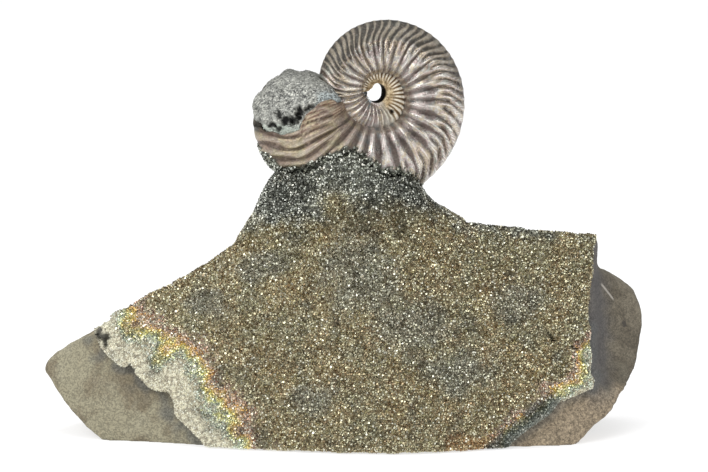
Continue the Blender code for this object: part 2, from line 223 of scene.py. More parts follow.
def mixValue(factor, first, second):
    values = {0: factor, 2: first, 3: second}
    return addNode(treeOf(*values.values()), "ShaderNodeMix", values, data_type="FLOAT").outputs[0]


def coats(colour, *layers):
    # lays tones over a colour, each where its mask says: a stored value's name, or a socket
    for mask, strength, tone in layers:
        if isinstance(mask, str):
            mask = stored(colour.id_data, mask)
        colour = mixColour(times(mask, strength), colour, tone)
    return colour


def remap(value, lowIn, highIn, lowOut=0, highOut=1):
    made = addNode(value.id_data, "ShaderNodeMapRange", {0: value, 1: lowIn, 2: highIn, 3: lowOut, 4: highOut},
                   interpolation_type="SMOOTHSTEP")
    return made.outputs[0]


def ramp(value, stops):
    made = addNode(value.id_data, "ShaderNodeValToRGB", {0: value})
    band = made.color_ramp
    while len(band.elements) < len(stops):
        band.elements.new(1)
    for element, (place, colour) in zip(band.elements, stops):
        element.position = place
        element.color = (*colour, 1)
    return made.outputs[0]


def cloud(where, sizeMm, detail=2, rough=0.5, twist=0):
    values = {"Vector": where, "Scale": 1 / (sizeMm * mm), "Detail": detail, "Roughness": rough, "Distortion": twist}
    return addNode(where.id_data, "ShaderNodeTexNoise", values).outputs["Fac"]


def stored(tree, name):
    return addNode(tree, "ShaderNodeAttribute", attribute_name=name).outputs["Fac"]


def place(tree):
    return addNode(tree, "ShaderNodeTexCoord").outputs["Object"]


def strokeMask(here, ends, half):
    # a thin line between two points of the front view, on the front faces only
    a, b = [(np.array([x, z]) + partShift[[0, 2]]) * mm for x, z in ends]
    length = float(np.linalg.norm(b - a))
    ux, uz = [float(step) / length for step in b - a]
    apart = addNode(here.id_data, "ShaderNodeSeparateXYZ", {0: here}).outputs
    x, z = maths("SUBTRACT", apart[0], float(a[0])), maths("SUBTRACT", apart[2], float(a[1]))
    along = maths("ADD", times(x, ux), times(z, uz))
    across = maths("SUBTRACT", times(x, uz), times(z, ux))
    off = remap(maths("ABSOLUTE", across), half * mm, 0.3 * half * mm)
    ended = maths("ABSOLUTE", maths("SUBTRACT", along, 0.5 * length))
    return times(off, remap(ended, 0.5 * length, 0.3 * length), maths("LESS_THAN", apart[1], 12 * mm))


def newGroup(name, inputs, outputs):
    # an input without a value is a vector
    group = bpy.data.node_groups.new(name, "ShaderNodeTree")
    for label, value in inputs.items():
        kind = "NodeSocketVector" if value is None else "NodeSocketFloat"
        socket = group.interface.new_socket(label, in_out="INPUT", socket_type=kind)
        if value is not None:
            socket.default_value = value
    for label in outputs:
        kind = "NodeSocketColor" if label == "Color" else "NodeSocketFloat"
        group.interface.new_socket(label, in_out="OUTPUT", socket_type=kind)
    return group, group.nodes.new("NodeGroupInput").outputs, group.nodes.new("NodeGroupOutput").inputs


def useGroup(group, **values):
    return addNode(treeOf(*values.values()), "ShaderNodeGroup", values, node_tree=group).outputs


def setLooks(shader, **looks):
    for key, value in looks.items():
        feed(shader.inputs[key.replace("_", " ")], value)


def newMaterial(name, **looks):
    material = bpy.data.materials.new(name)
    material.use_nodes = True
    tree = material.node_tree
    shader = tree.nodes["Principled BSDF"]
    setLooks(shader, **looks)
    return material, tree, shader


def shadeBy(colour, amount):
    # lightens or darkens a colour by a plain factor
    grey = addNode(amount.id_data, "ShaderNodeCombineColor", {0: amount, 1: amount, 2: amount}).outputs[0]
    return mixColour(1, colour, grey, "MULTIPLY")


def bumpUp(shader, height, depthMm, strength=1):
    values = {"Height": height, "Strength": strength, "Distance": depthMm * mm}
    feed(shader.inputs["Normal"], addNode(shader.id_data, "ShaderNodeBump", values).outputs[0])


def makeMineralGrain():
    # packed grains: a height for bumps and a light-dark speckle
    group, given, out = newGroup("mineral grain", {"Vector": None, "Grain": 1}, ["Height", "Speckle"])
    scale = maths("DIVIDE", 1 / mm, given["Grain"])
    packed = addNode(group, "ShaderNodeTexVoronoi", {"Vector": given["Vector"], "Scale": scale})
    dusty = addNode(group, "ShaderNodeTexNoise", {
        "Vector": given["Vector"], "Scale": scale, "Detail": 4, "Roughness": 0.65})
    tone = addNode(group, "ShaderNodeSeparateColor", {0: packed.outputs["Color"]}).outputs[0]
    feed(out["Height"], maths("SUBTRACT", dusty.outputs["Fac"], times(packed.outputs["Distance"], 0.6)))
    feed(out["Speckle"], mixValue(0.5, tone, dusty.outputs["Fac"]))
    return group


def makeTarnishFilm():
    # the rainbow skin on pyrite, from bare pale metal at 0 to old gold at 1
    group, given, out = newGroup("tarnish film", {"Film": 1, "Drift": 0.5, "Spread": 0.2}, ["Color"])
    moved = maths("MULTIPLY_ADD", maths("SUBTRACT", given["Drift"], 0.5), given["Spread"], given["Film"])
    feed(out["Color"], ramp(moved, filmStops))
    return group


def makeSettledDust():
    # pale dust where a face looks up
    group, given, out = newGroup("settled dust", {"Vector": None, "Amount": 0.3}, ["Mask"])
    facing = addNode(group, "ShaderNodeSeparateXYZ", {0: group.nodes.new("ShaderNodeNewGeometry").outputs["Normal"]})
    up = remap(facing.outputs[2], 0.1, 0.95)
    broken = remap(cloud(given["Vector"], 6, 5, 0.7), 0.35, 0.7)
    feed(out["Mask"], times(up, broken, given["Amount"]))
    return group


filmStops = [(0, (0.8, 0.76, 0.585)), (0.34, (0.78, 0.745, 0.565)), (0.43, (0.62, 0.69, 0.58)),
             (0.5, (0.75, 0.76, 0.45)), (0.57, (0.92, 0.78, 0.31)), (0.64, (0.86, 0.65, 0.35)),
             (0.71, (0.7, 0.53, 0.42)), (0.79, (0.59, 0.51, 0.385)), (0.88, (0.56, 0.47, 0.285)),
             (1, (0.545, 0.47, 0.285))]
mineralGrain = makeMineralGrain()
tarnishFilm = makeTarnishFilm()
settledDust = makeSettledDust()
print("shared shader groups ready")


# where the druse is broken off, seen from the front, mm
leftEdge = [(-61.5, 27.5), (-59, 22.8), (-56.1, 19.6), (-53.2, 18.6), (-51.4, 17.7), (-48.9, 15.1), (-46.2, 12.8),
            (-42.1, 12.4), (-40.6, 10.2), (-40.2, 7.3), (-35.9, 3.1), (-33.8, 1.5), (-32.3, -2)]
rightEdge = [(37.3, -2), (39.2, 1.4), (42.8, 4.1), (46.4, 6.7), (48.3, 8), (50.8, 10.6), (53.8, 11.8), (59.1, 13.1),
             (59.6, 14.9), (57.8, 16.8), (58.9, 20.7), (58.1, 23.3), (58.7, 26)]

stone = {
    "voxel": 0.75, "softening": 6, "flatBelow": 0.45,
    "swell": 0.3, "swellSize": 9,            # broad unevenness, mm
    "grit": 0.1, "gritSize": 1.6,
    "roughCorner": 0.45, "roughCornerSize": 2.6,  # the broken foot at the lower right
    "warm": (0.275, 0.253, 0.176), "brown": (0.186, 0.158, 0.106), "pale": (0.34, 0.322, 0.245),
    # gritty: the grit tone along the druse's edge, partly painted shade
    "dark": (0.085, 0.08, 0.07), "grittyAndShaded": (0.105, 0.112, 0.11), "foot": (0.3, 0.24, 0.165),
    # side: painted shade on the steep face at the right, beside the druse's edge
    "side": (0.088, 0.086, 0.09),
    "scratch": ((61.9, 35.7), (65.7, 30.8)), "stain": ((67.8, 26.2), (68.2, 24.4)),
    # how far it swells out to the right and to the left, by height
    "shoulder": [(38, 0), (42, 0.6), (45, 1.1), (47, 1.6), (49, 1.7)],
    "leftCheek": [(0, 0.2), (3, 1), (6, 1.7), (14, 1.65), (18, 0.9), (22, 0.35), (25, 0)],
}


def stonePlace(vert):
    at = designPlace(vert)
    if at[2] < stone["flatBelow"]:
        return Vector((vert.co.x, vert.co.y, 0))
    corner = float(smoothStep((at[0] - 34) / 8) * smoothStep((13 - at[2]) / 3))
    lift = stone["swell"] * bumps(at, stone["swellSize"], 0.7) + stone["grit"] * bumps(at, stone["gritSize"], 2.3)
    lift += corner * stone["roughCorner"] * abs(bumps(at, stone["roughCornerSize"], 4.1)) * -1.6
    there = vert.co + vert.normal * lift * min(1, at[2] / 3) * mm
    there.x += readLine(stone["shoulder"], at[2]) * smoothStep((at[0] - 46) / 9) * mm
    there.x -= readLine(stone["leftCheek"], at[2]) * smoothStep((-52 - at[0]) / 9) * mm
    return there


def makeStone():
    obj = fineCopy("siltstoneBlock", "matrix_stone", stone["voxel"], stone["softening"])
    reshape(obj, stonePlace)
    at = designPlaces(obj.data)
    x, y, z = at.T
    wander = np.array([bumps(p, 3.2, 6.1) for p in at])
    low = smoothStep((13.5 - z + 3 * wander) / 3.5) * smoothStep((0 - y + 3 * wander) / 6)
    band = smoothStep((x - 57) / 2) * smoothStep((66 - x + 1.5 * wander) / 4)
    # darker grit on the stone just outside the broken druse: partly real grit, partly painted shade under the druse's
    # edge
    flat = at[:, [0, 2]]
    close = 1 - smoothStep((edgeDistance(flat, leftEdge) - 1 - 2.5 * wander) / 3.6)
    right = 0.8 - smoothStep((edgeDistance(flat, rightEdge) - 0.6) / 3)
    close = np.maximum(close * smoothStep(0.7 + 2.2 * wander), right)
    # the right end gets painted shade: darker towards the right
    storeValues(obj.data, corner=smoothStep((x - 34) / 8) * low, rightEnd=smoothStep((x - 40) / 14),
                sideBand=band * smoothStep((z - 6) / 9) * smoothStep((13 - y) / 10), grit=close * (y < 6))
    return obj


def makeStoneMaterial():
    material, tree, shader = newMaterial("siltstone", Metallic=0, Specular_IOR_Level=0.35)
    here = place(tree)
    grain = useGroup(mineralGrain, Vector=here, Grain=0.32)
    broad = remap(cloud(here, 12, 5, 0.65, 0.5), 0.42, 0.59)
    bloom = remap(cloud(here, 8, 5, 0.65), 0.5, 0.78)
    rust = remap(cloud(here, 3.4, 5, 0.75, 0.8), 0.54, 0.76)
    # painted shade: the right end darker, its side face darker still
    rightShadeTone = mixColour(broad, (0.094, 0.081, 0.062), (0.156, 0.134, 0.102))
    corner, grit = stored(tree, "corner"), stored(tree, "grit")
    colour = coats(mixColour(broad, stone["brown"], stone["warm"]), (bloom, 0.6, stone["pale"]),
                   (rust, 0.35, (0.19, 0.13, 0.07)), ("rightEnd", 0.85, rightShadeTone), (corner, 0.85, stone["foot"]),
                   ("sideBand", 0.75, stone["side"]), (grit, 0.62, stone["grittyAndShaded"]))
    colour = shadeBy(colour, remap(grain["Speckle"], 0.25, 0.75, 0.72, 1.27))
    rubble = remap(cloud(here, 0.95, 6, 0.9), 0.34, 0.66, 0.42, 1.5)
    colour = shadeBy(colour, mixValue(maths("MAXIMUM", corner, times(grit, 0.6)), 1, rubble))
    cells = addNode(tree, "ShaderNodeTexVoronoi", {"Vector": here, "Scale": 1 / (2.1 * mm)}).outputs["Distance"]
    dust = useGroup(settledDust, Vector=here, Amount=0.25)["Mask"]
    colour = coats(colour, (remap(cells, 0.11, 0.05), 0.4, stone["dark"]), (dust, 1, stone["pale"]),
                   (strokeMask(here, stone["scratch"], 0.3), 0.75, (0.46, 0.43, 0.38)),
                   (strokeMask(here, stone["stain"], 0.75), 0.75, (0.05, 0.045, 0.04)))
    setLooks(shader, Base_Color=colour, Roughness=remap(grain["Speckle"], 0.2, 0.8, 0.78, 0.96))
    bumpUp(shader, maths("MULTIPLY_ADD", cloud(here, 0.9, 5, 0.7), 0.8, grain["Height"]), 0.08, 0.8)
    return material


dress(makeStone(), makeStoneMaterial(), "siltstone", "matrix_stone")


druse = {
    "voxel": 0.55, "softening": 3,
    "lump": 0.35, "lumpSize": 3.2, "cluster": 0.2, "clusterSize": 0.9,
    "leftFilm": 17, "rightFilm": 10,         # how far the rainbow reaches in from each broken edge, mm
    "moundFoot": [(-30, 49.5), (-22, 52.3), (-13.8, 51.1), (-7.8, 52.4), (-3.6, 56), (7.2, 56.8),
                  (13.1, 56.6), (21.9, 54.6), (32, 49)],
    # x, z, half width, half height
    "greyPatches": [(4, 40, 12, 13), (15, 29, 13, 10), (28, 19, 11, 8),
                    (-20, 42, 10, 5), (-33, 33, 7, 5), (40, 34, 8, 6), (-8, 12, 9, 5)],
    # the gloom patches are painted shade on the mound
    "gloomShadePatches": [(-13, 60, 7.5, 6.5), (13.5, 61, 6.5, 5), (20, 56.5, 5, 3.5), (-17, 64.5, 4, 4),
                     (9, 54, 17, 5.5)],
    # both ends and the width of each slit, dented and darkened with painted shade
    "slits": [((37.9, 40), (40.4, 39.6), 0.32), ((48.3, 26.5), (49.6, 24.7), 0.36),
              ((53.4, 23.4), (55.2, 22.6), 0.28), ((-59.6, 24.7), (-57, 24.4), 0.8),
              ((-57.6, 24.2), (-57.2, 22.4), 0.5), ((-51.5, 18.2), (-50.3, 16.9), 0.4)],
    "slitDepth": 0.9, "lowest": 0.25,
    "headroom": 2.2, "gap": 0.3,                 # a crystal needs this much in front of it and around it
    # a painted shadow line along the crust's lower right edge
    "edgeShadowLine": [(35, -0.6), (41.4, 4.4), (46.4, 8.2), (49, 10.2)],
    # small pushes of the broken edge: x, z, radius, how far in x and z
    "pushes": [(-58, 27, 4, -0.5, 0.3), (-53.2, 18, 1.5, -0.9, -0.8)],
    "shoulder": [(32, 0), (36, 0.5), (39, 0.85), (42, 1), (44.5, 1.2), (47.5, 2.1)],
    "rust": [(26, 1.5), (34.5, 1.8)],          # the rusty stretch of its foot
}


def nearPatches(x, z, patches):
    near = np.zeros(len(x))
    for midX, midZ, wide, high in patches:
        near = np.maximum(near, 1 - np.hypot((x - midX) / wide, (z - midZ) / high))
    return near


def storeDruseZones(mesh):
    at = designPlaces(mesh)
    x, y, z = at.T
    flat = at[:, [0, 2]]
    wander = np.array([bumps(p, 5, 3.3) for p in at])
    ragged = np.array([bumps(p, 2.1, 7.7) for p in at])
    left = edgeDistance(flat, leftEdge) / druse["leftFilm"]
    right = edgeDistance(flat, rightEdge) + 3.2
    right += 0.9 * smoothStep((z - 15) / 4) + 3 * smoothStep((z - 22) / 5)
    right = right / druse["rightFilm"]
    dark = smoothStep((z - readLine(druse["moundFoot"], x) + 3 * wander + 1.6 * ragged + 2.6) / 5.5)
    gold = np.exp(-((x + 2.9) / 3.6) ** 2 - ((z - 57.6) / 2.6) ** 2) * (y < 5)
    behind = smoothStep((y - 4) / 4)
    grey, gloom = nearPatches(x, z, druse["greyPatches"]), nearPatches(x, z, druse["gloomShadePatches"])
    # the slit mask carries painted shade into the slits
    slit = np.zeros(len(at))
    for a, b, wide in druse["slits"]:
        slit = np.maximum(slit, 1 - smoothStep((edgeDistance(flat, [a, b]) - 0.5 * wide) / wide))
    slit = slit * (y < 0)
    # the seam mask is a painted shadow line under the crust's lower right edge
    seam = 1 - smoothStep((edgeDistance(flat, druse["edgeShadowLine"]) - 1.5 - 1 * wander - 0.7 * ragged) / 2)
    storeValues(mesh, film=np.clip(np.minimum(left, right) + 0.2 * wander + 0.08 * ragged, 0, 1),
                dark=np.clip(np.maximum(dark, behind) - 0.9 * gold, 0, 1), slit=slit, seam=seam * (y < 2),
                grey=smoothStep(grey * 1.5 + 0.7 * wander + 0.3 * ragged),
                gloom=smoothStep(gloom * 1.8 + 0.8 * wander + 0.5 * ragged),
                rust=1 - smoothStep((edgeDistance(flat, druse["rust"]) - 1 - 2 * wander) / 2.5))
    return slit


def drusePlace(vert):
    at = np.array(vert.co) / mm
    lift = druse["lump"] * bumps(at, druse["lumpSize"], 1.9)
    lift += druse["cluster"] * (0.45 - noise.voronoi(Vector(at) / druse["clusterSize"])[0][0])
    spot = at - partShift
    if spot[1] < 0:
        for a, b, wide in druse["slits"]:
            away = edgeDistance(spot[None, [0, 2]], [a, b])[0]
            lift -= druse["slitDepth"] * (1 - float(smoothStep((away - 0.3 * wide) / wide)))
    there = vert.co + vert.normal * lift * mm
    there.x += readLine(druse["shoulder"], spot[2]) * smoothStep((spot[0] - 46) / 9) * mm
    for x, z, wide, pushX, pushZ in druse["pushes"]:
        near = math.exp(-((spot[0] - x) ** 2 + (spot[2] - z) ** 2) / wide ** 2)
        there.x += pushX * near * mm
        there.z += pushZ * near * mm
    there.z = max(there.z, druse["lowest"] * mm)
    return there


def storeOpenness(mesh):
    # 1 where crystals have room to stand, 0 against the stone, the shell or the filling
    walls = []
    for nodeName in ("matrix_stone", "ammonite_shell", "chamber_fill"):
        bm = bmesh.new()
        bm.from_mesh(cadNodes[nodeName].data)
        walls.append(BVHTree.FromBMesh(bm))
        bm.free()
    free = np.ones(len(mesh.vertices))
    for i, vert in enumerate(mesh.vertices):
        start = vert.co + vert.normal * 0.05 * mm
        ahead = any(wall.ray_cast(start, vert.normal, druse["headroom"] * mm)[0] is not None for wall in walls)
        if ahead or any(wall.find_nearest(vert.co, druse["gap"] * mm)[0] is not None for wall in walls):
            free[i] = 0
    return free


def makeDruseMaterial(name, bright, rough, isSheet):
    material, tree, shader = newMaterial(name, Specular_IOR_Level=0.5)
    here, own, film, dark = place(tree), stored(tree, "ownTone"), stored(tree, "film"), stored(tree, "dark")
    drift = cloud(here, 2.6, 4, 0.7)
    if not isSheet:
        drift = mixValue(0.35, drift, own)
    tint = useGroup(tarnishFilm, Film=film, Drift=drift, Spread=0.6)["Color"]
    warm = coats(tint, (remap(cloud(here, 8, 3), 0.35, 0.7), 1, (0.465, 0.445, 0.3)),
                 (remap(cloud(here, 5, 4, 0.6), 0.55, 0.75, 0, 0.7), 1, (0.6, 0.46, 0.26)))
    # the seam tone is a painted shadow line under the crust's lower right edge
    colour = coats(tint, (remap(film, 0.8, 1, 0, 0.75), 1, warm), ("rust", 0.6, (0.62, 0.4, 0.19)),
                   ("grey", 0.52, (0.4, 0.415, 0.36)), (dark, 1, (0.41, 0.425, 0.365)),
                   ("seam", 0.85, (0.15, 0.17, 0.155)))
    # painted shade: darker patches on the mound, and near-black in the slits
    for shaded, least in (("gloom", 0.63), ("slit", 0.12)):
        colour = shadeBy(colour, mixValue(stored(tree, shaded), 1, least))
    pale = remap(film, 0.48, 0.22)
    if isSheet:
        speckle = useGroup(mineralGrain, Vector=here, Grain=0.45)["Speckle"]
        tone = remap(speckle, 0.2, 0.8, 0.22 * bright, 0.9 * bright)
        tone = mixValue(dark, tone, times(tone, 0.6))
        tone = mixValue(pale, tone, remap(speckle, 0.25, 0.75, 0.38, 1.04))
    else:
        hue = addNode(tree, "ShaderNodeHueSaturation", {
            "Color": colour, "Hue": remap(own, 0, 1, 0.475, 0.525), "Saturation": remap(own, 0, 1, 1.2, 0.7)})
        tone = remap(own, 0, 1, 0.5 * bright, 1.38 * bright)
        for mask, low, high in ((remap(film, 0.9, 0.7), 0.72, 1.35), (dark, 0.22, 1.75), (pale, 0.5, 1.14)):
            tone = mixValue(mask, tone, remap(own, 0, 1, low, high))
        # the odd facet without its film
        colour = mixColour(remap(own, 0.86, 0.95, 0, 0.6), hue.outputs[0], (0.62, 0.61, 0.54))
    setLooks(shader, Base_Color=shadeBy(colour, tone), Metallic=mixValue(pale, 0.95, 0.3),
             Roughness=mixValue(pale, mixValue(dark, rough, 0.7 * rough), 0.48))
    bumpUp(shader, useGroup(mineralGrain, Vector=here, Grain=0.25)["Height"], 0.1 if isSheet else 0.03, 0.8)
    return material


druseSheet = fineCopy("druseSheet", "pyrite_crust", druse["voxel"], druse["softening"])
reshape(druseSheet, drusePlace)
openness = storeOpenness(druseSheet.data)
openness = openness * (storeDruseZones(druseSheet.data) < 0.4)
dress(druseSheet, makeDruseMaterial("druse ground", 0.8, 0.42, True), "pyrite_druse", "pyrite_crust")


crystals = {
    # spacing, smallest and largest size, mm
    "cube": (0.43, 0.25, 0.5), "eightSided": (0.46, 0.16, 0.32), "pale": (0.36, 0.19, 0.36),
    "rim": (0.42, 0.28, 0.55), "filling": (0.46, 0.14, 0.25),
    "crowding": 2.4, "anyTurn": (6.283, 6.283, 6.283),
    "middle": -8, "bareTip": (-58.4, 24),    # where the field is split in two, and the bare upper left tip
}


def makeSeeds():
    cube, eightSided = bmesh.new(), bmesh.new()
    bmesh.ops.create_cube(cube, size=mm)
    bmesh.ops.create_uvsphere(eightSided, u_segments=4, v_segments=2, radius=mm)
    return toObject("cubeSeed", cube), toObject("eightSidedSeed", eightSided)


def scatter(name, ground, seedObject, room, sizes, seed, material, slotName="pyrite_druse"):
    # crystals stood on the ground piece wherever it has room
    obj = putIn(name, ground.data.copy())
    storeValues(obj.data, room=room)
    spacing, low, high = sizes
    tree = bpy.data.node_groups.new(name + " growth", "GeometryNodeTree")
    for side in ("INPUT", "OUTPUT"):
        tree.interface.new_socket("Geometry", in_out=side, socket_type="NodeSocketGeometry")
    start, end = tree.nodes.new("NodeGroupInput"), tree.nodes.new("NodeGroupOutput")
    room = addNode(tree, "GeometryNodeInputNamedAttribute", {"Name": "room"}, data_type="FLOAT")
    spots = addNode(tree, "GeometryNodeDistributePointsOnFaces", {
        "Mesh": start.outputs[0], "Distance Min": spacing * mm, "Density Factor": room.outputs[0],
        "Density Max": crystals["crowding"] / (spacing * mm) ** 2, "Seed": seed}, distribute_method="POISSON")
    turn, size = [
        addNode(tree, "FunctionNodeRandomValue", {"Min": least, "Max": top, "Seed": seed + i}, data_type="FLOAT_VECTOR")
        for i, least, top in ((1, (0, 0, 0), crystals["anyTurn"]), (2, (low,) * 3, (high,) * 3))]
    shape = addNode(tree, "GeometryNodeObjectInfo", {"Object": seedObject})
    stand = addNode(tree, "GeometryNodeInstanceOnPoints", {
        "Points": spots.outputs["Points"], "Instance": shape.outputs["Geometry"], "Rotation": turn.outputs[0],
        "Scale": size.outputs[0]})
    own = addNode(tree, "FunctionNodeRandomValue", {"Seed": seed + 3}, data_type="FLOAT")
    marked = addNode(tree, "GeometryNodeStoreNamedAttribute", {
        "Geometry": stand.outputs[0], "Name": "ownTone", "Value": own.outputs[1]}, domain="INSTANCE", data_type="FLOAT")
    whole = addNode(tree, "GeometryNodeRealizeInstances", {"Geometry": marked.outputs[0]})
    tree.links.new(whole.outputs[0], end.inputs[0])
    obj.modifiers.new("growth", "NODES").node_group = tree
    settle(obj)
    reshape(obj, lambda vert: Vector((vert.co.x, vert.co.y, max(vert.co.z, 0))))
    dress(obj, material, slotName)
    obj.data.shade_flat()
    return obj


cubeSeed, eightSidedSeed = makeSeeds()
x, y, z = designPlaces(druseSheet.data).T
crystalMaterial = makeDruseMaterial("pyrite crystals", 1, 0.22, False)
upper = readValues(druseSheet.data, "dark") > 0.5
paleBand = readValues(druseSheet.data, "film") < 0.3
tipX, tipZ = crystals["bareTip"]
openness = openness * ~((x < tipX) & (z > tipZ))
left = x < crystals["middle"]
field, mound = openness * ~paleBand * ~upper, openness * ~paleBand * upper
for name, seedObject, room, kind, seed in (
        ("fieldCubesLeft", cubeSeed, field * left, "cube", 11),
        ("fieldCubesRight", cubeSeed, field * ~left, "cube", 23),
        ("fieldPoints", eightSidedSeed, field, "eightSided", 37),
        ("moundCubes", cubeSeed, mound, "cube", 41),
        ("moundPoints", eightSidedSeed, mound, "eightSided", 53),
        ("edgeGrains", eightSidedSeed, openness * paleBand, "pale", 67)):
    scatter(name, druseSheet, seedObject, room, crystals[kind], seed, crystalMaterial)


# angles run along the coil in degrees, the rest is in mm or a share of the whorl
shell = {
    "centre": (7.3, 2, 82.5), "yaw": 9, "startRadius": 14.18, "growth": 0.00251, "zero": 162,
    "holeHalf": 2.7, "fatness": 0.45, "steadyUntil": 312, "closing": -0.0016,
    # radius of the seam against the turn before, by angle
    "seam": [(-40, 2.4), (0, 3.24), (90, 4.8), (170, 6.5), (210, 8.05), (260, 7.8), (335, 8.4)],
    "ribs": 28, "oldRibs": 36, "ribHeight": 0.042, "split": 0.5, "splitRun": 0.16,
    "section": [(0, 0.34), (0.09, 0.76), (0.32, 1), (0.62, 0.9), (0.84, 0.65), (0.96, 0.34)],
    # where the coil starts, ends and is broken off, and how the break slants
    "first": -350.4, "last": 298.9, "broken": 333, "tiltNear": 14, "tiltFar": 20,
    "bite": 9, "biteAt": 0.76, "biteRun": 0.15, "wall": 1, "pocket": 0.17,
    "capDepth": 1.2,                             # how far the round start of the coil bulges back
    # the torn lip on the near side: share of the whorl's height, angle
    "nearLip": [(0, 330), (0.11, 332.6), (0.17, 339), (0.31, 338.4), (0.39, 332.4), (0.51, 327), (0.565, 321.5),
                (0.66, 320.2), (0.77, 321.4), (0.955, 325.6), (1, 327.5)],
    "wallBulge": 0.95, "bulgeAt": -195, "bulgeRun": 65,      # the older turn deep inside the hole
    "chipAt": -334, "chipRun": 24, "chip": 0.62,             # its broken start flattens the hole's rim
    "pinhole": (11.2, 78.1, 0.5, 0.8),
    # where the druse climbs up the shell, x and z
    "rim": [(-24, 72), (-20.8, 70.5), (-19.7, 69.2), (-16.9, 67.5), (-14.7, 65.9), (-10.9, 65.4), (-6.8, 68.1),
            (-3.8, 69.2), (-0.8, 70.3), (2.2, 70.4), (4.9, 68.7), (8.3, 66.3), (10.5, 64.7), (13.6, 65.3), (15.5, 64),
            (18.2, 60.4), (24, 58)],
    "ringsPerRib": 13, "flankPoints": 58, "backPoints": 7, "endRings": 40,
}


def outerRadius(angle):
    steady = np.minimum(angle, shell["steadyUntil"])
    closing = shell["closing"] * np.maximum(0, angle - shell["steadyUntil"])
    return shell["startRadius"] * np.exp(shell["growth"] * steady + closing)


def innerRadius(angle):
    return readLine(shell["seam"], angle)


def ribSwing(angle, share):
    lean = -9 + np.maximum(0, angle - 180) * 0.12
    return lean * np.sin(0.5 * np.pi * np.minimum(share / 0.45, 1)) + 9 * smoothStep((share - 0.6) / 0.4)


def ribRelief(angle, share):
    # 1 on a crest, 0 in a groove, with twice as many ribs on the outer half
    wander = 0.05 * np.sin(angle * 0.21 + 3 * share) + 0.04 * np.sin(angle * 0.083 + 1.3)
    wander = wander + 0.05 * smoothStep((share - 0.5) / 0.2) * np.sin(angle * 0.9 + 13 * share)
    turns = (np.maximum(angle, -100) * shell["ribs"] + np.minimum(angle + 100, 0) * shell["oldRibs"]) / 360
    phase = (turns + wander) % 1
    overTop = smoothStep((angle + 25) / 25) * smoothStep((150 - angle) / 35)
    inner = (0.5 + 0.5 * np.cos(2 * np.pi * (phase - 0.25))) ** (1.5 - 0.7 * overTop)
    outer = 1 - (0.5 - 0.5 * np.cos(4 * np.pi * phase)) ** (1.5 - 0.75 * overTop)
    split = shell["split"] + 0.05 * np.sin(angle * 0.45) - 0.3 * smoothStep((angle - 285) / 20)
    split = split + 1.6 * smoothStep((-12 - angle) / 8)
    blend = smoothStep((share - split) / shell["splitRun"] + 0.5)
    relief = inner + (outer - inner) * blend
    # the older turn runs smooth towards its outer side, under the navel
    calm = smoothStep((-25 - angle) / 15) * smoothStep((angle + 150) / 30) * smoothStep((share - 0.45) / 0.3)
    return relief + (0.6 - relief) * 0.8 * calm


def brokenAngle(share, side, isPocket):
    near = np.minimum(side, 0)
    bite = shell["bite"] * np.exp(-((share - shell["biteAt"]) / shell["biteRun"]) ** 2) * np.sqrt(-near)
    line = shell["broken"] + shell["tiltFar"] * np.maximum(side, 0) + shell["tiltNear"] * near - bite
    if isPocket:
        return line
    torn = readLine(shell["nearLip"], share)
    start = shell["nearLip"][-1][1]
    line = start + (line - start) * smoothStep(side / 0.85)
    return np.where(side < 0, torn, line) + 0.5 * np.sin(share * 23 + side * 9)


def shellSection():
    # share of the whorl's height and signed width, seam to keel to seam
    near = [(share, -width) for share, width in shell["section"]]
    far = [(share, width) for share, width in reversed(shell["section"])]
    curve = roundCurve([(s, w * shell["fatness"]) for s, w in near + [(1, 0)] + far], shell["flankPoints"])
    return np.clip(curve[:, 0], 0, 1), curve[:, 1] / shell["fatness"]


